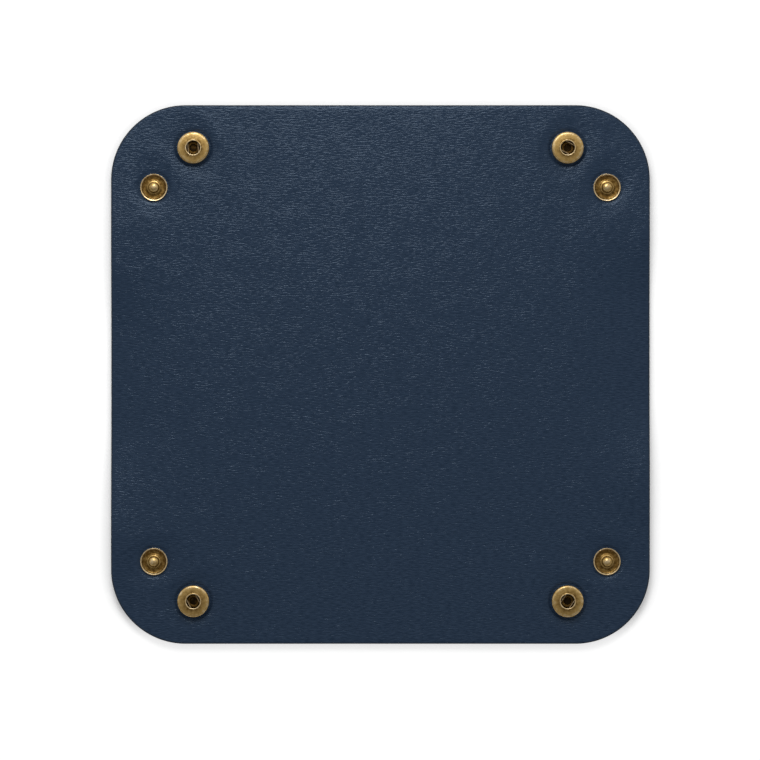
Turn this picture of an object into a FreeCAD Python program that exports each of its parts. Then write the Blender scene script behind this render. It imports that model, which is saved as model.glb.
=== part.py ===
"""Valet tray: one flat square of leather that snaps up into a tray at its four corners.

The sheet lies flat, as it does when its corners are unsnapped. Each corner carries one
press-stud set: a cap with a socket and its wire spring, and a rivet post with a stud.
To form the tray the four walls fold up. Each corner then doubles over along its diagonal
into an ear, and the stud on one half of the ear seats in the socket on the other half.

Frame: +Z up, origin on the table under the middle of the sheet. The front edge is at -Y.
Lengths are in millimetres.
"""

import math
import os

import FreeCAD
import Part

# Leather sheet
SHEET_SIDE = 210.0
SHEET_THICKNESS = 2.0
SHEET_CORNER_RADIUS = 29.0
EDGE_BEVEL = 0.4
WALL_HEIGHT = 40.0

# Snap places, measured in from the two sheet edges that meet at a corner
SNAP_NEAR_EDGE = 16.7
SNAP_FAR_EDGE = 32.1

# Cap: the low dome under the sheet, with the tube that rivets the socket on
CAP_RADIUS = 7.5
CAP_HEIGHT = 1.8
CAP_RIM_HEIGHT = 0.6
CAP_TUBE_RADIUS = 1.8
CAP_TUBE_BORE = 1.3
RIVET_ROLL_RADIUS = 2.5
RIVET_ROLL_HEIGHT = 0.5

# Socket: the pressed ring on top of the sheet that takes the stud
SOCKET_RADIUS = 6.25
SOCKET_HEIGHT = 4.0
SOCKET_WALL_HEIGHT = 1.3
SOCKET_HOLE_RADIUS = 2.75
SOCKET_CROWN_RADIUS = 3.3
SOCKET_LIP_DEPTH = 0.9
SOCKET_PLATE = 0.4
SOCKET_WELL_RADIUS = 4.6
GROOVE_RADIUS = 5.55

# Spring: a wire hairpin in the socket's groove, its two bars gripping the stud's neck
SPRING_WIRE_RADIUS = 0.27
SPRING_GAP = 3.5
SPRING_BAR_START = -4.6
SPRING_BAR_END = 3.0
SPRING_TURN = {"back_left": 4.0, "back_right": 62.0, "front_left": 28.0, "front_right": -35.0}

# Stud: the dished flange with the bulb that enters the socket
STUD_RADIUS = 5.375
STUD_RIM_HEIGHT = 0.9
STUD_RIM_WIDTH = 0.75
STUD_DISH_HEIGHT = 0.5
STUD_FOOT_RADIUS = 2.45
STUD_FOOT_HEIGHT = 1.0
STUD_BULB_RADIUS = 2.1
STUD_BULB_HEIGHT = 3.4
STUD_SHELL = 0.45

# Post: the low round head under the sheet, with the tube that rivets the stud on
POST_RADIUS = 4.75
POST_HEIGHT = 1.0
POST_TUBE_RADIUS = 1.25
POST_TUBE_BORE = 0.8

# Fits
HOLE_CLEARANCE = 0.05
SEAT_CLEARANCE = 0.05
NECK_CLEARANCE = 0.05
SNAP_CLEARANCE = 0.1
SEAM_CLEARANCE = 1.4

# Heights of the sheet's two faces above the table
SHEET_BOTTOM = CAP_HEIGHT
SHEET_TOP = SHEET_BOTTOM + SHEET_THICKNESS

# The flat floor of the tray, and how far its fold lines lie from the middle
FLOOR_HALF = SHEET_SIDE / 2 - WALL_HEIGHT

# Half of the space between the two leather faces when a snap is closed
EAR_HALF_GAP = (SOCKET_HEIGHT + STUD_DISH_HEIGHT + SNAP_CLEARANCE) / 2

# How far inside the floor's corner an ear's crease lies, so that at a wall angle of 90 degrees
# and an ear angle of 45 degrees the two halves of the ear stand parallel, that gap apart
CREASE_INSET = math.sqrt(2) * EAR_HALF_GAP + (math.sqrt(2) - 1) * SHEET_THICKNESS

# Heights in the closed snap, above the leather under the socket
GROOVE_TOP = SOCKET_HEIGHT - SOCKET_LIP_DEPTH
SPRING_HEIGHT = GROOVE_TOP - SEAT_CLEARANCE - SPRING_WIRE_RADIUS
GROOVE_FLOOR = SPRING_HEIGHT - SPRING_WIRE_RADIUS - SEAT_CLEARANCE

# The stud's neck lies where the spring's bars are when the snap is closed
STUD_NECK_HEIGHT = 2 * EAR_HALF_GAP - SPRING_HEIGHT
STUD_NECK_RADIUS = SPRING_GAP / 2 - NECK_CLEARANCE

CORNERS = {
    "front_left": (-1, -1),
    "front_right": (1, -1),
    "back_left": (-1, 1),
    "back_right": (1, 1),
}

Z_AXIS = FreeCAD.Vector(0, 0, 1)
ORIGIN = FreeCAD.Vector(0, 0, 0)


def outline(*steps):
    """A closed wire in the XZ plane. A step is a point (r, z) for a straight run,
    or a pair of points (through, to) for an arc. The last run closes the wire."""
    start = FreeCAD.Vector(steps[0][0], 0, steps[0][1])
    edges, here = [], start
    for step in list(steps[1:]) + [steps[0]]:
        if isinstance(step[0], tuple):
            through, there = [FreeCAD.Vector(r, 0, z) for r, z in step]
            edges.append(Part.Arc(here, through, there).toShape())
        else:
            there = FreeCAD.Vector(step[0], 0, step[1])
            edges.append(Part.LineSegment(here, there).toShape())
        here = there
    return Part.Wire(edges)


def turned(*steps):
    """The solid that a profile makes when it is turned about the Z axis."""
    return Part.Face(outline(*steps)).revolve(ORIGIN, Z_AXIS, 360)


def dome_middle(radius, edge, top):
    """The point half way along a spherical dome's profile, from its edge height to its top height."""
    rise = top - edge
    ball = (radius ** 2 + rise ** 2) / (2 * rise)
    half_angle = math.asin(radius / abs(ball)) / 2
    return abs(ball) * math.sin(half_angle), top - ball + ball * math.cos(half_angle)


def plan_prism(points, bottom, top):
    """An upright prism over a polygon in the XY plane."""
    corners = [FreeCAD.Vector(x, y, bottom) for x, y in points]
    face = Part.Face(Part.makePolygon(corners + corners[:1]))
    return face.extrude(FreeCAD.Vector(0, 0, top - bottom))


def corner_point(signs, u, v):
    """A plan point from its offsets outwards from the floor's corner, along X and along Y."""
    return signs[0] * (FLOOR_HALF + u), signs[1] * (FLOOR_HALF + v)


def whole_sheet():
    """The leather sheet: a square with round corners and lightly bevelled cut edges."""
    half = SHEET_SIDE / 2
    sheet = Part.makeBox(SHEET_SIDE, SHEET_SIDE, SHEET_THICKNESS, FreeCAD.Vector(-half, -half, SHEET_BOTTOM))
    upright = [e for e in sheet.Edges if abs(e.BoundBox.ZLength - SHEET_THICKNESS) < 1e-6]
    sheet = sheet.makeFillet(SHEET_CORNER_RADIUS, upright)
    rims = [e for e in sheet.Edges if e.BoundBox.ZLength < 1e-6]
    return sheet.makeChamfer(min(EDGE_BEVEL, 0.45 * SHEET_THICKNESS), rims)


def cut_from_sheet(sheet, points):
    """The piece of the sheet inside a plan polygon."""
    margin = SHEET_THICKNESS
    piece = sheet.common(plan_prism(points, SHEET_BOTTOM - margin, SHEET_TOP + margin))
    return piece.Solids[0]


def floor_panel(sheet):
    """The flat floor: the square between the fold lines, its corners cut where the ears begin."""
    points = []
    for name in ("front_left", "front_right", "back_right", "back_left"):
        ends = [corner_point(CORNERS[name], -CREASE_INSET, 0), corner_point(CORNERS[name], 0, -CREASE_INSET)]
        points += ends if name in ("front_right", "back_left") else ends[::-1]
    return cut_from_sheet(sheet, points)


def wall_panel(sheet, turn):
    """One wall, between two ears. Turn is its angle round the tray from the front wall."""
    half = FLOOR_HALF - CREASE_INSET
    outer = SHEET_SIDE
    front = [(-half, -FLOOR_HALF), (half, -FLOOR_HALF), (half, -outer), (-half, -outer)]
    angle = math.radians(turn)
    points = [
        (x * math.cos(angle) - y * math.sin(angle), x * math.sin(angle) + y * math.cos(angle))
        for x, y in front
    ]
    return cut_from_sheet(sheet, points)


def socket_ear(sheet, signs):
    """The half of an ear that hangs on the front or back wall, with the hole for the cap's tube."""
    reach = SHEET_SIDE / 2
    points = [
        corner_point(signs, -CREASE_INSET, 0),
        corner_point(signs, -CREASE_INSET, reach),
        corner_point(signs, reach - CREASE_INSET, reach),
    ]
    return cut_from_sheet(sheet, points).cut(sheet_hole(socket_place(signs), CAP_TUBE_RADIUS))


def stud_ear(sheet, signs):
    """The other half of the ear, next to the left or right wall, with the hole for the post's tube.
    A narrow seam keeps it free of that wall as the tray folds."""
    reach = SHEET_SIDE / 2
    points = [
        corner_point(signs, SEAM_CLEARANCE, SEAM_CLEARANCE - CREASE_INSET),
        corner_point(signs, reach, SEAM_CLEARANCE - CREASE_INSET),
        corner_point(signs, reach, reach - CREASE_INSET),
    ]
    return cut_from_sheet(sheet, points).cut(sheet_hole(stud_place(signs), POST_TUBE_RADIUS))


def ear_fold(sheet, signs):
    """The strip along the corner's diagonal that bends round when the ear doubles over."""
    reach = SHEET_SIDE / 2
    points = [
        corner_point(signs, -CREASE_INSET, 0),
        corner_point(signs, 0, -CREASE_INSET),
        corner_point(signs, reach, reach - CREASE_INSET),
        corner_point(signs, reach, reach),
        corner_point(signs, reach - CREASE_INSET, reach),
    ]
    return cut_from_sheet(sheet, points)


def socket_place(signs):
    """Where a cap and its socket go through the sheet."""
    return corner_point(signs, WALL_HEIGHT - SNAP_FAR_EDGE, WALL_HEIGHT - SNAP_NEAR_EDGE)


def stud_place(signs):
    """Where a post and its stud go through the sheet: the socket's place, mirrored in the diagonal."""
    return corner_point(signs, WALL_HEIGHT - SNAP_NEAR_EDGE, WALL_HEIGHT - SNAP_FAR_EDGE)


def sheet_hole(place, tube_radius):
    """The punched hole that a tube of that radius passes through."""
    below = FreeCAD.Vector(place[0], place[1], SHEET_BOTTOM - SHEET_THICKNESS)
    return Part.makeCylinder(tube_radius + HOLE_CLEARANCE, 3 * SHEET_THICKNESS, below)


def cap():
    """Domed cap with its tube, from the sheet's lower face. The tube's end is rolled over the socket's plate."""
    plate_top = SHEET_THICKNESS + SOCKET_PLATE + SEAT_CLEARANCE
    roll_top = plate_top + RIVET_ROLL_HEIGHT
    roll_middle = (RIVET_ROLL_RADIUS + CAP_TUBE_BORE) / 2
    rim_edge = CAP_RADIUS - CAP_RIM_HEIGHT / 2
    return turned(
        (0, -CAP_HEIGHT),
        (dome_middle(rim_edge, -CAP_RIM_HEIGHT, -CAP_HEIGHT), (rim_edge, -CAP_RIM_HEIGHT)),
        (CAP_RADIUS, -CAP_RIM_HEIGHT / 2),
        (CAP_RADIUS, 0),
        (CAP_TUBE_RADIUS, 0),
        (CAP_TUBE_RADIUS, plate_top),
        (RIVET_ROLL_RADIUS, plate_top),
        (roll_middle, roll_top),
        (CAP_TUBE_BORE, plate_top),
        (CAP_TUBE_BORE, 0),
        (0, 0),
    )


def socket():
    """Pressed socket ring, from the sheet's upper face: plate, domed crown, beaded mouth and spring groove."""
    hole = CAP_TUBE_RADIUS + HOLE_CLEARANCE
    bead = SOCKET_CROWN_RADIUS - SOCKET_HOLE_RADIUS
    shoulder_drop = SOCKET_HEIGHT - SOCKET_WALL_HEIGHT
    shoulder = (
        SOCKET_CROWN_RADIUS + 0.72 * (SOCKET_RADIUS - SOCKET_CROWN_RADIUS),
        SOCKET_HEIGHT - 0.35 * shoulder_drop,
    )
    return turned(
        (hole, 0),
        (SOCKET_RADIUS, 0),
        (SOCKET_RADIUS, SOCKET_WALL_HEIGHT),
        (shoulder, (SOCKET_CROWN_RADIUS, SOCKET_HEIGHT)),
        (SOCKET_HOLE_RADIUS, SOCKET_HEIGHT - bead),
        (SOCKET_HOLE_RADIUS, GROOVE_TOP),
        (GROOVE_RADIUS, GROOVE_TOP),
        (GROOVE_RADIUS, GROOVE_FLOOR),
        (SOCKET_WELL_RADIUS, GROOVE_FLOOR),
        (SOCKET_WELL_RADIUS, SOCKET_PLATE),
        (hole, SOCKET_PLATE),
    )


def spring():
    """Hairpin of round wire: two straight bars joined by a half circle, lying in the socket's groove."""
    half = SPRING_GAP / 2 + SPRING_WIRE_RADIUS
    left_start = FreeCAD.Vector(-half, SPRING_BAR_START, SPRING_HEIGHT)
    left_end = FreeCAD.Vector(-half, SPRING_BAR_END, SPRING_HEIGHT)
    bend = FreeCAD.Vector(0, SPRING_BAR_END + half, SPRING_HEIGHT)
    right_start = FreeCAD.Vector(half, SPRING_BAR_END, SPRING_HEIGHT)
    right_end = FreeCAD.Vector(half, SPRING_BAR_START, SPRING_HEIGHT)
    path = Part.Wire([
        Part.LineSegment(left_start, left_end).toShape(),
        Part.Arc(left_end, bend, right_start).toShape(),
        Part.LineSegment(right_start, right_end).toShape(),
    ])
    section = Part.Wire(Part.makeCircle(SPRING_WIRE_RADIUS, left_start, FreeCAD.Vector(0, 1, 0)))
    return path.makePipeShell([section], True, True)


def stud():
    """Dished flange with a raised rim and a hollow bulb on a neck, from the sheet's upper face."""
    bore = POST_TUBE_RADIUS + HOLE_CLEARANCE
    rim_inner = STUD_RADIUS - STUD_RIM_WIDTH
    rim_middle = STUD_RADIUS - STUD_RIM_WIDTH / 2
    bulb_middle = (STUD_NECK_HEIGHT + STUD_BULB_HEIGHT) / 2
    inner_top = STUD_BULB_HEIGHT - STUD_SHELL
    inner_edge = inner_top - 0.3 * bore
    return turned(
        (bore, 0),
        (STUD_RADIUS, 0),
        (STUD_RADIUS, STUD_DISH_HEIGHT),
        (rim_middle, STUD_RIM_HEIGHT),
        (rim_inner, STUD_DISH_HEIGHT),
        (STUD_FOOT_RADIUS, STUD_DISH_HEIGHT),
        (STUD_FOOT_RADIUS, STUD_FOOT_HEIGHT),
        (STUD_NECK_RADIUS, STUD_NECK_HEIGHT),
        (STUD_BULB_RADIUS, bulb_middle),
        (dome_middle(STUD_BULB_RADIUS, bulb_middle, STUD_BULB_HEIGHT), (0, STUD_BULB_HEIGHT)),
        (0, inner_top),
        (bore, inner_edge),
    )


def post():
    """Low round head with its tube, from the sheet's lower face up into the stud's bulb."""
    tube_top = SHEET_THICKNESS + STUD_NECK_HEIGHT
    head_edge = 0.3 * POST_HEIGHT
    return turned(
        (0, -POST_HEIGHT),
        (dome_middle(POST_RADIUS, -head_edge, -POST_HEIGHT), (POST_RADIUS, -head_edge)),
        (POST_RADIUS, 0),
        (POST_TUBE_RADIUS, 0),
        (POST_TUBE_RADIUS, tube_top),
        (POST_TUBE_BORE, tube_top),
        (POST_TUBE_BORE, 0),
        (0, 0),
    )


def placed(shape, place, height, turn=0.0):
    """A copy of a snap piece, turned about its own axis and set at its place in the sheet."""
    moved = shape.copy()
    moved.rotate(ORIGIN, Z_AXIS, turn)
    moved.translate(FreeCAD.Vector(place[0], place[1], height))
    return moved


def pieces():
    """Every piece of the tray by its name."""
    sheet = whole_sheet()
    made = {"leather_floor": floor_panel(sheet)}
    for name, turn in (("front", 0), ("right", 90), ("back", 180), ("left", 270)):
        made["leather_wall_" + name] = wall_panel(sheet, turn)
    snap_pieces = {"cap": cap(), "socket": socket(), "spring": spring(), "stud": stud(), "post": post()}
    for corner, signs in CORNERS.items():
        made["leather_socket_ear_" + corner] = socket_ear(sheet, signs)
        made["leather_stud_ear_" + corner] = stud_ear(sheet, signs)
        made["leather_ear_fold_" + corner] = ear_fold(sheet, signs)
        at_socket, at_stud = socket_place(signs), stud_place(signs)
        made["snap_cap_" + corner] = placed(snap_pieces["cap"], at_socket, SHEET_BOTTOM)
        made["snap_socket_" + corner] = placed(snap_pieces["socket"], at_socket, SHEET_TOP)
        made["snap_spring_" + corner] = placed(snap_pieces["spring"], at_socket, SHEET_TOP, SPRING_TURN[corner])
        made["snap_stud_" + corner] = placed(snap_pieces["stud"], at_stud, SHEET_TOP)
        made["snap_post_" + corner] = placed(snap_pieces["post"], at_stud, SHEET_BOTTOM)
    return made


os.makedirs("parts", exist_ok=True)
for node, shape in pieces().items():
    shape.exportStep(f"parts/{node}.step")
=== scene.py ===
import math

import bmesh
import bpy
import numpy as np
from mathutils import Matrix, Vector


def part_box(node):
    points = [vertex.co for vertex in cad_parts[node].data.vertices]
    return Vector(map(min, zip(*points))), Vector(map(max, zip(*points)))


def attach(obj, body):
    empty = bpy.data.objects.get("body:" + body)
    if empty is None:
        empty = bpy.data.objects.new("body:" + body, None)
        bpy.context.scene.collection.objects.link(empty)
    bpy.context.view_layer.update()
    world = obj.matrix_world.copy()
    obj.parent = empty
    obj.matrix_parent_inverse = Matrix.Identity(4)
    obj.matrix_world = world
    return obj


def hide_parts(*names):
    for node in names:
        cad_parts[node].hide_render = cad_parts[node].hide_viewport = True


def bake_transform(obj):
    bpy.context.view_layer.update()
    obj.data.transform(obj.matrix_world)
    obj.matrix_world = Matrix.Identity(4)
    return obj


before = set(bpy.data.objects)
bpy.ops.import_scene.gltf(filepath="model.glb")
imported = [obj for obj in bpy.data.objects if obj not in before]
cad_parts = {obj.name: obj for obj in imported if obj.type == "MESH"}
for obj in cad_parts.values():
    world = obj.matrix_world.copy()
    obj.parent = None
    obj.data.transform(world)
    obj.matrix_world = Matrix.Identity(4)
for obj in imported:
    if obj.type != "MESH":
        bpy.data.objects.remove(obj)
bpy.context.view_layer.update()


# The leather sheet
# One ply of navy leather, die-cut to a square with round corners, its cut edge left raw and lightly rubbed.
# It bends only at its fold lines, so each flat field is a slab of its own, and the grain runs across them.
MM = 0.001
WELD = 1e-7
SIDE = 210 * MM
CORNER_RADIUS = 29 * MM
RUBBED_EDGE = 0.5 * MM
NAP_DEPTH = 0.1 * MM
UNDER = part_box("leather_floor")[0].z
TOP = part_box("leather_floor")[1].z
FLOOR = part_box("leather_floor")[1].x
WALL = SIDE / 2 - FLOOR
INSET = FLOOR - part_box("leather_wall_front")[1].x
CORNERS = {"front_left": (-1, -1), "front_right": (1, -1), "back_left": (-1, 1), "back_right": (1, 1)}

# Which of the leather's finishes a face takes.
GRAIN, EDGE, NAP = 0, 1, 2

# How far each edge hangs and where along it that is lowest, then each rise by its side, height and place.
SAG = {
    "front": (0.2 * MM, 0),
    "right": (1.7 * MM, 10 * MM),
    "back": (0.2 * MM, 0),
    "left": (1.7 * MM, -2 * MM),
}
SAG_REACH, SAG_FADE = 46 * MM, 30 * MM
RISES = (
    ("right", 0.5 * MM, 56 * MM),
    ("right", 0.8 * MM, -44 * MM),
    ("left", 0.5 * MM, 56 * MM),
    ("left", 1.1 * MM, -62 * MM),
)
RISE_WIDTH = 14 * MM

# Between the snaps the face swells and waves. Each snap dips it, puckers it round the dip, whose width swings
# by direction and turns from snap to snap, and presses a line into it along the snap's own edge.
SWELL = 0.2 * MM
PUCKER = 0.1 * MM
WAVE = 0.05 * MM
WAVE_ACROSS, WAVE_BACK, WAVE_SLANTED = 23 * MM, 31 * MM, 37 * MM
SOCKET_SEAT, STUD_SEAT = 6.3 * MM, 5.4 * MM
DIP, DIP_SWING, DIP_TURN = 7 * MM, 2 * MM, 400
PRESSED, LINE_OUT, LINE_WIDTH = 0.35 * MM, 0.2 * MM, 0.8 * MM


def middle(node):
    """The middle of a node's box, in plan."""
    low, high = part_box(node)
    return np.array([(low.x + high.x) / 2, (low.y + high.y) / 2])


SOCKET_PLACES = {corner: middle("snap_socket_" + corner) for corner in CORNERS}
STUD_PLACES = {corner: middle("snap_stud_" + corner) for corner in CORNERS}


def eased(t):
    """A smooth step, three times t squared less twice t cubed, held at 0 and 1."""
    t = np.clip(t, 0, 1)
    return t * t * (3 - 2 * t)


def sag(x, y):
    """How far the leather hangs below its snaps. Along each side it is lowest about a place of its own and
    fades by a smooth step towards the corners, and at a few places it rises instead, as a bell curve. Both
    grow as the square of the distance out from the fold line."""
    sides = {"front": (-y, x), "right": (x, y), "back": (y, x), "left": (-x, y)}
    out = {side: np.clip((far - FLOOR) / WALL, 0, 1) ** 2 for side, (far, along) in sides.items()}
    low = 0
    for side, (depth, lowest) in SAG.items():
        low = low + depth * out[side] * eased((SAG_REACH - np.abs(sides[side][1] - lowest)) / SAG_FADE)
    for side, height, highest in RISES:
        low = low - height * out[side] * np.exp(-((sides[side][1] - highest) / RISE_WIDTH) ** 2)
    return low


def grain_side(x, y):
    """Height of the finished face. It stands a little proud of the snaps' seats: round each snap it dips to
    the seat by a smooth step, wider in some directions, inside a low ring where the leather is pushed up, and
    a narrow line is pressed in along the snap's own edge; ring and line fade as bell curves. Two long shallow
    waves, one of crossed sines and one slanting, run over the whole sheet."""
    proud, pushed, pressed = np.ones_like(x), np.zeros_like(x), np.zeros_like(x)
    for places, seat in ((SOCKET_PLACES, SOCKET_SEAT), (STUD_PLACES, STUD_SEAT)):
        for px, py in places.values():
            away = np.hypot(x - px, y - py) - seat
            wide = DIP + DIP_SWING * np.sin(2 * np.arctan2(y - py, x - px) + DIP_TURN * (px + 2 * py))
            proud = proud * eased(away / wide)
            pushed = np.maximum(pushed, np.exp(-(away / wide - 1) ** 2))
            pressed = np.maximum(pressed, np.exp(-((away - LINE_OUT) / LINE_WIDTH) ** 2))
    crossed = np.sin(x / WAVE_ACROSS + 0.8) * np.sin(y / WAVE_BACK - 0.5)
    slanted = 0.6 * np.sin((x + 1.6 * y) / WAVE_SLANTED)
    raised = SWELL + PUCKER * pushed + WAVE * (crossed + slanted)
    return TOP + proud * raised - PRESSED * pressed - sag(x, y)


def flesh_side(x, y):
    """Height of the underside, which lies on its caps and posts and sags between them."""
    return UNDER - NAP_DEPTH - sag(x, y)


def weld(mesh):
    """Merges doubled points, drops the faces that this flattens, and turns the rest outwards."""
    work = bmesh.new()
    work.from_mesh(mesh)
    bmesh.ops.remove_doubles(work, verts=work.verts, dist=WELD)
    bmesh.ops.dissolve_degenerate(work, edges=work.edges, dist=WELD)
    bmesh.ops.recalc_face_normals(work, faces=work.faces)
    work.to_mesh(mesh)
    work.free()


def shown(name, mesh, sharp, finishes):
    """An object of the mesh, smooth except along edges sharper than that many degrees, with its finishes."""
    mesh.polygons.foreach_set("use_smooth", np.ones(len(mesh.polygons), bool))
    mesh.set_sharp_from_angle(angle=math.radians(sharp))
    for finish in finishes:
        mesh.materials.append(finish)
    piece = bpy.data.objects.new(name, mesh)
    bpy.context.collection.objects.link(piece)
    return piece


def leather_piece(name, points, faces, kinds):
    """A leather piece: its points, its faces and a finish for each face, with doubled points merged and a map
    whose unit square is the flat sheet, so that the grain follows the leather."""
    mesh = bpy.data.meshes.new(name)
    mesh.from_pydata(points, [], faces)
    mesh.polygons.foreach_set("material_index", kinds)
    weld(mesh)
    places = np.empty(len(mesh.vertices) * 3)
    mesh.vertices.foreach_get("co", places)
    used = np.empty(len(mesh.loops), int)
    mesh.loops.foreach_get("vertex_index", used)
    flat = mesh.uv_layers.new(name="flat_sheet")
    flat.data.foreach_set("uv", (places.reshape(-1, 3)[used, :2] / SIDE + 0.5).ravel())
    piece = shown(name, mesh, sharp=40, finishes=leather_finishes)
    return piece


def tube_faces(count, ring):
    """The faces of closed sections laid side by side, each of ring points: a band of four-cornered faces from
    each section to the next, then a cap at each end."""
    spot = np.arange(count * ring).reshape(count, ring)
    after = np.roll(spot, -1, axis=1)
    quads = np.stack([spot[:-1], spot[1:], after[1:], after[:-1]], -1).reshape(-1, 4)
    return quads.tolist() + [spot[0].tolist(), spot[-1][::-1].tolist()]


def slab(name, plan, across, along, rim=True):
    """A flat field of the sheet. plan(a, b, inset) gives plan places for each a in across and for b from 0
    to 1, with b = 1 on the cut edge drawn in by inset. For each a, a closed section runs out along the grain
    side, round the rubbed edge in two quarter turns, and back along the underside."""
    out = np.linspace(0, 1, along)
    level = np.zeros(along)
    quarter = np.radians([30, 60, 90]) if rim else np.zeros(0)
    turn = np.append(quarter, quarter[::-1])
    b = np.concatenate([out, np.ones(len(turn)), out[::-1]])
    inset = np.concatenate([level + RUBBED_EDGE, RUBBED_EDGE * (1 - np.sin(turn)), level + RUBBED_EDGE])
    sunk = np.concatenate([level, RUBBED_EDGE * (1 - np.cos(turn)), level])
    upper = np.arange(len(b)) < along + len(quarter)
    a = np.asarray(across, float)
    x, y = plan(a[:, None], b[None, :], inset[None, :] if rim else 0.0)
    z = np.where(upper, grain_side(x, y) - sunk, flesh_side(x, y) + sunk)
    count, ring = x.shape
    kind = np.full(ring, EDGE)
    kind[:along - 1] = GRAIN
    kind[ring - along:ring - 1] = NAP
    kinds = np.append(np.tile(kind, count - 1), [EDGE, EDGE]).astype(np.int32)
    return leather_piece(name, np.stack([x, y, z], -1).reshape(-1, 3), tube_faces(count, ring), kinds)


def new_finish(name):
    """An empty node material and its shader."""
    finish = bpy.data.materials.new(name)
    finish.use_nodes = True
    nodes, links = finish.node_tree.nodes, finish.node_tree.links
    return finish, nodes, links, nodes["Principled BSDF"]


def noise(nodes, links, where, scale, detail=2.0, rough=0.5, dimensions="2D"):
    """A noise node on the given vector output."""
    node = nodes.new("ShaderNodeTexNoise")
    node.noise_dimensions = dimensions
    node.inputs["Scale"].default_value = scale
    node.inputs["Detail"].default_value = detail
    node.inputs["Roughness"].default_value = rough
    links.new(where, node.inputs["Vector"])
    return node


def stretched(nodes, links, where, scale):
    """The vector multiplied by scale along each axis."""
    node = nodes.new("ShaderNodeVectorMath")
    node.operation = "MULTIPLY"
    node.inputs[1].default_value = scale
    links.new(where, node.inputs[0])
    return node.outputs["Vector"]


def ramp(nodes, links, value, stops):
    """A colour ramp through the given (position, colour) stops."""
    node = nodes.new("ShaderNodeValToRGB")
    ends = node.color_ramp.elements
    ends[0].position = stops[0][0]
    ends[0].color = (*stops[0][1], 1)
    ends[1].position = stops[-1][0]
    ends[1].color = (*stops[-1][1], 1)
    for position, colour in stops[1:-1]:
        node.color_ramp.elements.new(position).color = (*colour, 1)
    links.new(value, node.inputs["Fac"])
    return node.outputs["Color"]


def grey_ramp(nodes, links, value, stops):
    """A ramp of plain numbers through the given (position, number) stops."""
    return ramp(nodes, links, value, [(position, (number,) * 3) for position, number in stops])


def mapped(nodes, links, value, source, target):
    """A value carried from one range to another and held at the ends."""
    node = nodes.new("ShaderNodeMapRange")
    for name, number in zip(("From Min", "From Max", "To Min", "To Max"), (*source, *target)):
        node.inputs[name].default_value = number
    links.new(value, node.inputs["Value"])
    return node.outputs["Result"]


def combined(nodes, links, operation, first, second):
    """A math node on two values, each a socket or a number."""
    node = nodes.new("ShaderNodeMath")
    node.operation = operation
    for socket, value in zip(node.inputs, (first, second)):
        if isinstance(value, (int, float)):
            socket.default_value = value
        else:
            links.new(value, socket)
    return node.outputs["Value"]


def bumped(nodes, links, shader, height, strength, distance):
    """Turns a height into the shader's bumps."""
    node = nodes.new("ShaderNodeBump")
    node.inputs["Strength"].default_value = strength
    node.inputs["Distance"].default_value = distance
    links.new(height, node.inputs["Height"])
    links.new(node.outputs["Normal"], shader.inputs["Normal"])


def on_sheet(nodes, links):
    """The place on the flat sheet in millimetres."""
    flat = nodes.new("ShaderNodeUVMap")
    flat.uv_map = "flat_sheet"
    return stretched(nodes, links, flat.outputs["UV"], (SIDE / MM, SIDE / MM, 0))


def navy_grain():
    """The finished face: fine wavy creases that run across the sheet, deeper in some patches than in others,
    with glossier pads between them. Its colour darkens into the creases and pales on the pads, which paints
    the creases' shade."""
    finish, nodes, links, shader = new_finish("navy_grain")
    sheet = on_sheet(nodes, links)
    shift = stretched(nodes, links, noise(nodes, links, sheet, 0.16).outputs["Color"], (1.5, 1.2, 0))
    moved = nodes.new("ShaderNodeVectorMath")
    moved.operation = "ADD"
    links.new(sheet, moved.inputs[0])
    links.new(shift, moved.inputs[1])
    wavy = moved.outputs["Vector"]
    creases = noise(nodes, links, stretched(nodes, links, wavy, (0.42, 2.0, 0)), 1.0, 1.0).outputs["Fac"]
    pores = noise(nodes, links, stretched(nodes, links, wavy, (1.3, 3.1, 0)), 1.0, 1.0).outputs["Fac"]
    patches = noise(nodes, links, sheet, 0.12).outputs["Fac"]
    depth = mapped(nodes, links, patches, (0.35, 0.65), (0.75, 1.0))
    height = combined(nodes, links, "ADD", creases, combined(nodes, links, "MULTIPLY", pores, 0.25))
    about_zero = combined(nodes, links, "SUBTRACT", height, 0.625)
    deep = combined(nodes, links, "MULTIPLY", about_zero, depth)
    tone = combined(nodes, links, "ADD", deep, 0.5)
    # The navy darkens with the creases' depth, painting their shade, and pales on the raised pads between
    # them.
    navy_and_crease_shade = [(0.3, (0.0088, 0.0192, 0.039)), (0.5, (0.0132, 0.0253, 0.0483)), (0.7, (0.0176, 0.0317, 0.0578))]
    links.new(ramp(nodes, links, tone, navy_and_crease_shade), shader.inputs["Base Color"])
    links.new(grey_ramp(nodes, links, tone, [(0.3, 0.22), (0.7, 0.17)]), shader.inputs["Roughness"])
    shader.inputs["Specular IOR Level"].default_value = 0.25
    shader.inputs["Specular Tint"].default_value = (0.64, 0.8, 1, 1)
    bumped(nodes, links, shader, deep, 1.0, 0.13 * MM)
    return finish


def cut_edge():
    """The raw edge: compressed fibre, dyed through, darker and more matt than the grain."""
    finish, nodes, links, shader = new_finish("cut_edge")
    where = stretched(nodes, links, nodes.new("ShaderNodeTexCoord").outputs["Object"], (1, 1, 3))
    fibre = noise(nodes, links, where, 1500, 3, dimensions="3D").outputs["Fac"]
    dyed = [(0.3, (0.008, 0.013, 0.021)), (0.7, (0.02, 0.03, 0.046))]
    links.new(ramp(nodes, links, fibre, dyed), shader.inputs["Base Color"])
    shader.inputs["Roughness"].default_value = 0.75
    shader.inputs["Specular IOR Level"].default_value = 0.2
    bumped(nodes, links, shader, fibre, 0.5, 0.1 * MM)
    return finish


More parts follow.
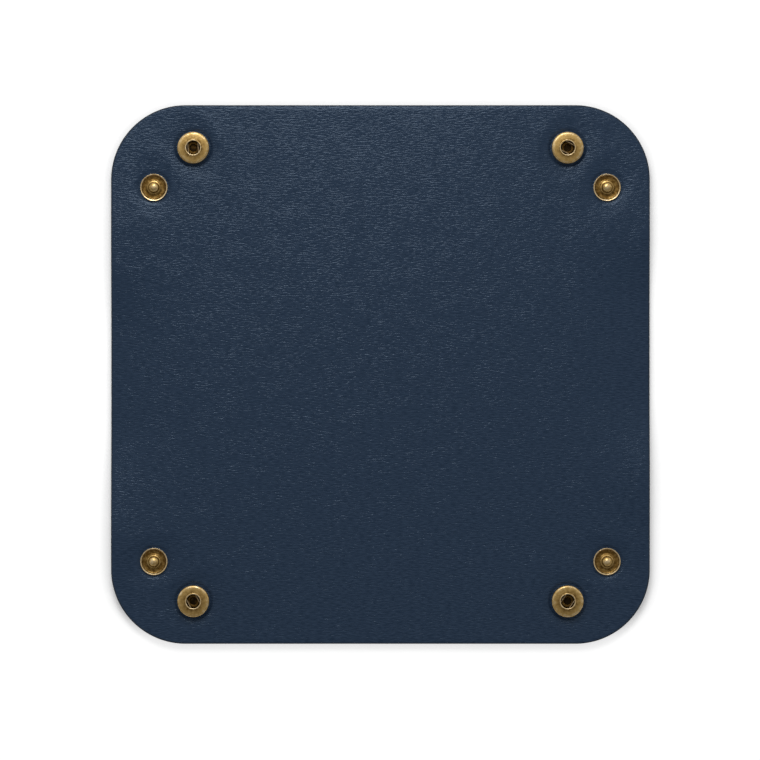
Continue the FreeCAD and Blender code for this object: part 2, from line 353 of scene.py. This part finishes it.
def napped_underside():
    """The flesh side: short brushed nap with no gloss."""
    finish, nodes, links, shader = new_finish("napped_underside")
    sheet = on_sheet(nodes, links)
    nap = noise(nodes, links, stretched(nodes, links, sheet, (1.6, 1.1, 0)), 1.5, 4.0, 0.65).outputs["Fac"]
    cloud = noise(nodes, links, sheet, 0.06, 3.0).outputs["Fac"]
    tone = combined(nodes, links, "ADD", combined(nodes, links, "MULTIPLY", nap, 0.5),
                    combined(nodes, links, "MULTIPLY", cloud, 0.5))
    brushed = [(0.3, (0.014, 0.022, 0.036)), (0.7, (0.034, 0.048, 0.071))]
    links.new(ramp(nodes, links, tone, brushed), shader.inputs["Base Color"])
    shader.inputs["Roughness"].default_value = 0.95
    shader.inputs["Specular IOR Level"].default_value = 0.1
    shader.inputs["Sheen Weight"].default_value = 0.15
    bumped(nodes, links, shader, nap, 0.6, 0.2 * MM)
    return finish


leather_finishes = [navy_grain(), cut_edge(), napped_underside()]


# The floor
# The square between the fold lines, which stays flat on the table while the walls rise round it.
# Its corners are cut off where the ears begin.
def floor_plan(a, b, inset):
    """a runs left to right. b runs front to back, over a depth that shrinks by as much as a has entered a
    corner. The floor has no cut edge, so inset isn't used."""
    half = FLOOR - np.maximum(0, np.abs(a) - (FLOOR - INSET))
    return a + 0 * b, (2 * b - 1) * half


straight = np.linspace(INSET - FLOOR, FLOOR - INSET, 61)
left_to_right = np.concatenate([[-FLOOR], straight, [FLOOR]])
tray_floor = slab("tray_floor", floor_plan, left_to_right, along=62, rim=False)
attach(tray_floor, "floor")
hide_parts("leather_floor")


# The walls
# Four straight fields of the sheet, one along each side, free at the cut edge and folding up at the floor.
# Under each fold lies the leather that stretches round the outside of the bend, hidden while all is flat.
WALL_TURNS = {"front": 0, "right": 90, "back": 180, "left": 270}
DOWN, UP = (0, 0, -1), (0, 0, 1)

# How much shorter than its fold, and thinner than the sheet, that leather is, so that it stays hidden.
BEND_SHORT, BEND_SHY = 0.02 * MM, 0.01 * MM


def turned_plan(turn, x, y):
    """Plan places turned about the middle of the sheet by a number of degrees."""
    c, s = math.cos(math.radians(turn)), math.sin(math.radians(turn))
    return c * x - s * y, s * x + c * y


def bend(name, line, kind, across, upright, angles, radius, steps=9):
    """The leather round a fold: a sector of the given radius, carried along a line of points and given one
    finish. The sector's arc runs between two angles in degrees, from the direction upright towards the
    direction across."""
    turn = np.radians(np.linspace(*angles, steps))[:, None]
    arc = radius * (np.cos(turn) * np.asarray(upright) + np.sin(turn) * np.asarray(across))
    rows = np.stack([np.vstack([[0, 0, 0], arc]) + np.asarray(point) for point in line])
    faces = tube_faces(*rows.shape[:2])
    return leather_piece(name, rows.reshape(-1, 3), faces, np.full(len(faces), kind, np.int32))


for side, turn in WALL_TURNS.items():
    def wall_plan(a, b, inset):
        """a runs along the fold line, b out from it to the cut edge."""
        return turned_plan(turn, a * (FLOOR - INSET) + 0 * b, -FLOOR - b * (WALL - inset))

    wall = slab("wall_" + side, wall_plan, np.linspace(-1, 1, 61), along=24)
    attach(wall, "wall_" + side)
    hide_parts("leather_wall_" + side)
    fold = [(*turned_plan(turn, e * (FLOOR - INSET - BEND_SHORT), -FLOOR), TOP) for e in (-1, 1)]
    outwards = (*turned_plan(turn, 0, -1), 0)
    outer = bend("wall_bend_" + side, fold, NAP, outwards, DOWN, (0, 90), TOP - UNDER + NAP_DEPTH - BEND_SHY)
    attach(outer, "floor")


# The ears
# Each round corner of the sheet is two mirrored fields and the strip between them along the diagonal.
# One field carries the socket, the other the stud, and the strip rolls over when the snap is closed.
ROOT2 = math.sqrt(2)

# Half the strip's width, and how far out from both fold lines the middle of the round corner lies.
HALF_ROLL = INSET / ROOT2
HEART = SIDE / 2 - CORNER_RADIUS - FLOOR


def reach(towards, inset):
    """How far a ray from the crease's inner end runs to the cut edge: to the straight rim first, and further
    round to the corner, where it meets a circle."""
    dx, dy = np.cos(towards), np.sin(towards)
    rim = (WALL - inset) / dy
    along = dx * (HEART + INSET) + dy * HEART
    gap = (HEART + INSET) ** 2 + HEART ** 2
    round_part = along + np.sqrt(along ** 2 - gap + (CORNER_RADIUS - inset) ** 2)
    return np.where(rim * dx - INSET <= HEART, rim, round_part)


def fan(a, b, inset):
    """Distances aside and out from a crease's inner end, on a fan of rays: a turns from the crease to the
    diagonal, b runs out to the cut edge."""
    towards = math.pi / 2 - a * math.pi / 4
    far = b * reach(towards, inset)
    return far * np.cos(towards), far * np.sin(towards)


def diagonal(signs, along, aside):
    """Plan places from distances along a corner's diagonal, outwards, and aside from it, towards the stud."""
    u, v = (along + aside) / ROOT2, (along - aside) / ROOT2
    return signs[0] * (FLOOR + u), signs[1] * (FLOOR + v)


# The leather inside a crease stays a little below the grain. The seam's lip is longer than it is round, and
# the tongue that fills the floor's cut corner is a thin wedge about a line just outside that corner.
CREASE_COVER = 0.12 * MM
LIP_STRETCH, LIP_SHY = 1.7, 0.02 * MM
TONGUE_OUT, TONGUE_COVER, TONGUE_SHARE = 0.42 * MM, 0.05 * MM, 0.98
TONGUE_LONG, TONGUE_ANGLES = 3.3 * MM, (58, 88)

for corner, signs in CORNERS.items():
    def socket_plan(a, b, inset):
        """The fan of rays, out from the front or back fold line."""
        aside, out = fan(a, b, inset)
        return signs[0] * (FLOOR - INSET + aside), signs[1] * (FLOOR + out)

    def stud_plan(a, b, inset):
        """The socket's field, mirrored in the diagonal."""
        aside, out = fan(a, b, inset)
        return signs[0] * (FLOOR + out), signs[1] * (FLOOR - INSET + aside)

    def roll_plan(a, b, inset):
        """a runs aside across the strip, b from the floor's cut corner out to the round edge."""
        aside = a * HALF_ROLL
        edge = HEART * ROOT2 + np.sqrt((CORNER_RADIUS - inset) ** 2 - aside ** 2)
        return diagonal(signs, b * (edge + HALF_ROLL) - HALF_ROLL, aside)

    socket_ear = slab("socket_ear_" + corner, socket_plan, np.linspace(0, 1, 80), along=72)
    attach(socket_ear, "socket_ear_" + corner)
    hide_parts("leather_socket_ear_" + corner)
    stud_ear = slab("stud_ear_" + corner, stud_plan, np.linspace(0, 1, 80), along=72)
    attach(stud_ear, "stud_ear_" + corner)
    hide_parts("leather_stud_ear_" + corner)
    roll = slab("ear_roll_" + corner, roll_plan, np.linspace(-1, 1, 29), along=36)
    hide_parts("leather_ear_fold_" + corner)
    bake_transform(roll)

    socket_side, stud_side = corner.split("_")
    for kind, side, u, v in (("socket", socket_side, 1, 0), ("stud", stud_side, 0, 1)):
        along = np.linspace(0, WALL - RUBBED_EDGE, 25)
        x = signs[0] * (FLOOR - u * INSET + v * along)
        y = signs[1] * (FLOOR - v * INSET + u * along)
        low = np.stack([x, y, UNDER - sag(x, y)], -1)
        outwards = np.array([signs[0] * u, signs[1] * v, 0])
        inner = bend(f"{kind}_crease_{corner}", low, GRAIN, outwards, UP, (0, 45),
                     TOP - UNDER + SWELL - CREASE_COVER)
        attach(inner, "wall_" + side)
        if kind == "stud":
            half_way = np.stack([x, y, (TOP + UNDER) / 2 - sag(x, y)], -1)
            lip = bend("stud_seam_" + corner, half_way, EDGE, LIP_STRETCH * outwards, UP, (0, 180),
                       (TOP - UNDER) / 2 - LIP_SHY)
            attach(lip, "wall_" + side)
    inward = (-signs[0] / ROOT2, -signs[1] / ROOT2, 0)
    tip = [(*diagonal(signs, TONGUE_OUT, e * HALF_ROLL), TOP - TONGUE_COVER)
           for e in (-TONGUE_SHARE, TONGUE_SHARE)]
    tongue = bend("floor_tongue_" + corner, tip, GRAIN, inward, DOWN, TONGUE_ANGLES, TONGUE_LONG)
    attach(tongue, "floor")


# The sockets and their caps
# Spun and pressed brass with an antique finish. The ring on top takes the stud, and a wire spring lies in its
# groove. The tube of the domed cap underneath comes up through the leather and is rolled over inside the ring.
ARC_STEP = math.radians(9)


def rounded(*corners):
    """An outline of (radius, height, rounding, patina and painted shading) corners in millimetres: the last
    number darkens the brass for its patina and also paints shade on walls and flanks and highlights on tops
    and rims. Each corner becomes an arc that touches both its runs, and the arc's points keep the corner's
    number."""
    corners = np.array(corners, float)
    spots = corners[:, :2]
    points = [corners[0, [0, 1, 3]].tolist()]
    for before, here, after, (rounding, patina_and_shading) in zip(spots, spots[1:], spots[2:], corners[1:, 2:]):
        back, on = before - here, after - here
        room = 0.49 * min(np.hypot(*back), np.hypot(*on))
        back, on = back / np.hypot(*back), on / np.hypot(*on)
        half = np.arccos(np.clip(back @ on, -1, 1)) / 2
        radius = min(rounding, room * math.tan(half))
        centre = here + (back + on) / np.hypot(*(back + on)) * radius / math.sin(half)
        first = here + back * radius / math.tan(half) - centre
        last = here + on * radius / math.tan(half) - centre
        swing = math.pi - 2 * half
        step = np.linspace(0, 1, 2 + int(swing / ARC_STEP))[:, None] if radius > 0 else np.zeros((1, 1))
        arc = centre + (np.sin((1 - step) * swing) * first + np.sin(step * swing) * last) / math.sin(swing)
        points += np.column_stack([arc, np.full(len(arc), patina_and_shading)]).tolist()
    return np.array(points + [corners[-1, [0, 1, 3]].tolist()])


def spun(name, outline, place, height, finish, steps=80):
    """A turned piece: each point of the outline is carried round an upright axis at the given place. The
    outline's ends lie on the axis or meet each other, so that the surface is closed."""
    turn = np.linspace(0, 2 * math.pi, steps, endpoint=False)[:, None]
    radius, rise, patina_and_shading = outline.T
    x, y = place[0] + MM * radius * np.cos(turn), place[1] + MM * radius * np.sin(turn)
    points = np.stack([x, y, np.broadcast_to(height + MM * rise, x.shape)], -1).reshape(-1, 3)
    spot = np.arange(steps * len(radius)).reshape(steps, len(radius))
    beside = np.roll(spot, -1, axis=0)
    quads = np.stack([spot[:, :-1], beside[:, :-1], beside[:, 1:], spot[:, 1:]], -1).reshape(-1, 4)
    mesh = bpy.data.meshes.new(name)
    mesh.from_pydata(points, [], quads.tolist())
    tarnish_and_shading = mesh.attributes.new("patina_and_shading", "FLOAT", "POINT")
    tarnish_and_shading.data.foreach_set("value", np.tile(patina_and_shading, steps))
    weld(mesh)
    piece = shown(name, mesh, sharp=35, finishes=[finish])
    return piece


def antique_brass():
    """Brass darkened in its hollows and rubbed bright on its beads and rims, and also painted darker on its
    walls and flanks and paler on its tops for their shade and highlights: the piece's own patina and painted
    shading, mottled by a noise, goes from pale gold to brown in colour and from satin to dull in gloss, over
    fine pits."""
    finish, nodes, links, shader = new_finish("antique_brass")
    own = nodes.new("ShaderNodeAttribute")
    own.attribute_name = "patina_and_shading"
    where = nodes.new("ShaderNodeTexCoord").outputs["Object"]
    mottle = noise(nodes, links, where, 900, 3, dimensions="3D").outputs["Fac"]
    pits = noise(nodes, links, where, 3200, 2, dimensions="3D").outputs["Fac"]
    spread = combined(nodes, links, "MULTIPLY", combined(nodes, links, "SUBTRACT", mottle, 0.5), 0.6)
    tarnish_and_shading = combined(nodes, links, "ADD", own.outputs["Fac"], spread)
    gold_to_brown = [(0.0, (0.7, 0.56, 0.35)), (0.3, (0.4, 0.262, 0.092)), (0.7, (0.1, 0.053, 0.012)),
                     (1.0, (0.015, 0.009, 0.004))]
    links.new(ramp(nodes, links, tarnish_and_shading, gold_to_brown), shader.inputs["Base Color"])
    links.new(grey_ramp(nodes, links, tarnish_and_shading, [(0.0, 0.22), (0.7, 0.46)]), shader.inputs["Roughness"])
    shader.inputs["Metallic"].default_value = 1.0
    bumped(nodes, links, shader, pits, 0.3, 0.03 * MM)
    return finish


def drawn_wire():
    """Spring wire, dull and browned, mottled by a noise."""
    finish, nodes, links, shader = new_finish("drawn_wire")
    where = nodes.new("ShaderNodeTexCoord").outputs["Object"]
    marks = noise(nodes, links, where, 2500, dimensions="3D").outputs["Fac"]
    browned = [(0.3, (0.16, 0.11, 0.06)), (0.7, (0.34, 0.26, 0.16))]
    links.new(ramp(nodes, links, marks, browned), shader.inputs["Base Color"])
    shader.inputs["Metallic"].default_value = 1.0
    shader.inputs["Roughness"].default_value = 0.45
    return finish


brass, wire = antique_brass(), drawn_wire()
# The last number of each corner below is the brass's patina and also paints light: the ring's outer wall is
# dark for its shade, and its shoulder and the bead round the hole are pale for their highlights.
RING = rounded(
    (1.85, 0, 0, 0.8), (5.85, 0, 0.1, 0.8), (6.25, 0.8, 0.5, 0.7), (6.25, 3.52, 1.3, 0.24),
    (4.6, 3.61, 0, 0.42), (3.3, 3.68, 0.08, 0.58), (3.2, 4.0, 0.2, 0.25), (2.72, 4.0, 0.2, 0.1),
    (2.72, 3.1, 0.1, 0.8), (5.5, 3.1, 0, 0.9), (5.5, 2.4, 0, 0.9), (4.6, 2.4, 0, 0.9),
    (4.6, 0.4, 0, 0.8), (1.85, 0.4, 0, 0.8), (1.85, 0, 0, 0.8))
CAP = rounded(
    (0, -1.8, 0, 0.42), (3.6, -1.55, 12, 0.42), (7.0, -0.75, 9, 0.38), (7.5, -0.45, 0.3, 0.15),
    (7.5, 0, 0, 0.6), (1.8, 0, 0, 0.7), (1.8, 2.45, 0, 0.7), (2.5, 2.45, 0.1, 0.9),
    (2.5, 2.95, 0.35, 0.75), (1.45, 2.95, 0.3, 0.75), (1.3, 2.2, 0, 1), (0, 2.2, 0, 1))
for corner in CORNERS:
    ring = spun("socket_ring_" + corner, RING, SOCKET_PLACES[corner], TOP, brass)
    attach(ring, "socket_ear_" + corner)
    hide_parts("snap_socket_" + corner)
    cap = spun("socket_cap_" + corner, CAP, SOCKET_PLACES[corner], UNDER, brass)
    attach(cap, "socket_ear_" + corner)
    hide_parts("snap_cap_" + corner)
    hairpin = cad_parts["snap_spring_" + corner]
    hairpin.data.materials.clear()
    hairpin.data.materials.append(wire)


# The studs and their posts
# A dished flange with a thin raised rim and a hollow bulb, pressed from one disc of brass.
# The post's tube comes up through the leather into the bulb, and its low head shows underneath.
# The flange's last numbers paint light as well as patina: a pale rim, a darker dish and collar, and a bulb
# that pales towards its top for its highlight and darkens down its flanks for their shade.
FLANGE = rounded(
    (1.3, 0, 0, 1), (4.95, 0, 0.1, 0.8), (5.25, 0.4, 0.3, 0.7), (5.3, 0.86, 0.06, 0.35),
    (5.22, 0.96, 0.08, 0.14), (4.84, 0.9, 0.12, 0.14), (4.68, 0.66, 0.1, 0.4), (4.5, 0.54, 0.15, 0.62),
    (4.1, 0.4, 0.6, 0.66), (3.3, 0.34, 0.6, 0.66), (2.74, 0.5, 0.12, 0.6), (2.6, 0.95, 0.12, 0.32),
    (1.95, 1.1, 0.1, 0.75), (1.7, 1.6, 0.3, 0.7), (1.95, 2.1, 0.4, 0.5), (1.9, 2.6, 0.7, 0.42),
    (1.35, 3.14, 0.9, 0.28), (0.6, 3.38, 0.8, 0.18), (0, 3.4, 0, 0.15))
HOLLOW = [[0, 3.0, 1], [1.3, 2.5, 1], [1.3, 0, 1]]
STUD = np.vstack([FLANGE, HOLLOW])
HEAD = rounded(
    (0, -1.0, 0, 0.42), (2.4, -0.9, 8, 0.42), (4.55, -0.45, 4, 0.38), (4.75, -0.25, 0.15, 0.15),
    (4.75, 0, 0, 0.6), (1.25, 0, 0, 0.7), (1.25, 3.8, 0, 0.7), (0, 3.8, 0, 0.7))
for corner in CORNERS:
    stud = spun("stud_" + corner, STUD, STUD_PLACES[corner], TOP, brass)
    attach(stud, "stud_ear_" + corner)
    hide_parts("snap_stud_" + corner)
    post = spun("stud_post_" + corner, HEAD, STUD_PLACES[corner], UNDER, brass)
    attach(post, "stud_ear_" + corner)
    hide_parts("snap_post_" + corner)


# The stage
# A white table on a pale sweep, in a room that is light at the back and dim at the front, with a soft window
# high at the back. The table's own glow shows only to the eye and in the brass. Close to what lies on the
# table the glow dims, which paints a soft shadow round it, except along the front edge, where the window's
# shadow falls.
TABLE = 3
GLOW, GLOW_SHARE = 1.4, 0.46
HALO = 8 * MM
FRONT_EDGE = (-SIDE / 2 + 2 * MM, -SIDE / 2 + 14 * MM)
table = bpy.data.meshes.new("table_top")
table_corners = [(-TABLE, -TABLE, 0), (TABLE, -TABLE, 0), (TABLE, TABLE, 0), (-TABLE, TABLE, 0)]
table.from_pydata(table_corners, [], [(0, 1, 2, 3)])
table_top = bpy.data.objects.new("table_top", table)
bpy.context.collection.objects.link(table_top)
white, nodes, links, shader = new_finish("white_table")
shader.inputs["Base Color"].default_value = (0.95, 0.95, 0.95, 1)
shader.inputs["Roughness"].default_value = 1.0
shader.inputs["Specular IOR Level"].default_value = 0.0
glow = nodes.new("ShaderNodeEmission")
glow.inputs["Strength"].default_value = GLOW
ray = nodes.new("ShaderNodeLightPath")
seen = combined(nodes, links, "MAXIMUM", ray.outputs["Is Camera Ray"], ray.outputs["Is Glossy Ray"])
seen = combined(nodes, links, "MAXIMUM", seen, ray.outputs["Is Transmission Ray"])
near = nodes.new("ShaderNodeAmbientOcclusion")
near.samples = 4
near.inputs["Distance"].default_value = HALO
place = nodes.new("ShaderNodeSeparateXYZ")
links.new(nodes.new("ShaderNodeTexCoord").outputs["Object"], place.inputs["Vector"])
behind_front = mapped(nodes, links, place.outputs["Y"], FRONT_EDGE, (0, 1))
# The glow dims where the table is hemmed in, painting a soft shadow round what lies on it.
shade = grey_ramp(nodes, links, near.outputs["AO"], [(0.7, 0.34), (0.82, 0.27), (0.9, 0.1), (0.95, 0.0)])
painted_halo = combined(nodes, links, "MULTIPLY", behind_front, shade)
share = combined(nodes, links, "MULTIPLY", seen, combined(nodes, links, "SUBTRACT", GLOW_SHARE, painted_halo))
both = nodes.new("ShaderNodeMixShader")
links.new(share, both.inputs["Fac"])
links.new(shader.outputs["BSDF"], both.inputs[1])
links.new(glow.outputs["Emission"], both.inputs[2])
links.new(both.outputs["Shader"], nodes["Material Output"].inputs["Surface"])
table.materials.append(white)

world = bpy.data.worlds.new("studio")
world.use_nodes = True
nodes, links = world.node_tree.nodes, world.node_tree.links
way = nodes.new("ShaderNodeSeparateXYZ")
links.new(nodes.new("ShaderNodeTexCoord").outputs["Generated"], way.inputs["Vector"])
backward = combined(nodes, links, "ADD", combined(nodes, links, "MULTIPLY", way.outputs["Y"], 0.5), 0.5)
front_to_back = [(0.1, 0.45), (0.42, 0.5), (0.5, 0.68), (0.58, 1.05), (0.9, 1.3)]
room = combined(nodes, links, "MULTIPLY", grey_ramp(nodes, links, backward, front_to_back),
                grey_ramp(nodes, links, way.outputs["Z"], [(0.0, 1.0), (0.9, 0.75)]))
sweep = grey_ramp(nodes, links, way.outputs["Z"], [(0.08, 0.8), (0.28, 0.0)])
links.new(combined(nodes, links, "MAXIMUM", room, sweep), nodes["Background"].inputs["Strength"])
nodes["Background"].inputs["Color"].default_value = (1, 1, 1, 1)
bpy.context.scene.world = world

WINDOW_SIDE, WINDOW_WATTS = 0.3, 2.0
lamp = bpy.data.lights.new("window", "AREA")
lamp.shape = "RECTANGLE"
lamp.size = WINDOW_SIDE
lamp.size_y = WINDOW_SIDE
lamp.energy = WINDOW_WATTS
window = bpy.data.objects.new("window", lamp)
window.location = (-0.05, 0.41, 0.59)
window.rotation_euler = (math.radians(-35), 0, math.radians(7))
window.visible_camera = False
bpy.context.collection.objects.link(window)


# The camera
# It looks straight down from well above, so that the sheet keeps its square outline.
# The sheet's side and the picture's are given in pixels, and set the lens. It stands a little off the middle.
SIDE_PIXELS, PICTURE_PIXELS = 538.7, 760
LEFT_PIXELS, FRONT_PIXELS = 0.45, 5.5
PIXEL = SIDE / SIDE_PIXELS
HEIGHT = 2.0
SENSOR = 36
camera = bpy.data.cameras.new("camera")
camera.sensor_width = SENSOR
camera.lens = SENSOR * (HEIGHT - TOP) / (PICTURE_PIXELS * PIXEL)
eye = bpy.data.objects.new("camera", camera)
eye.location = (-LEFT_PIXELS * PIXEL, -FRONT_PIXELS * PIXEL, HEIGHT)
bpy.context.collection.objects.link(eye)
bpy.context.scene.camera = eye
bpy.context.scene.view_settings.view_transform = "Standard"
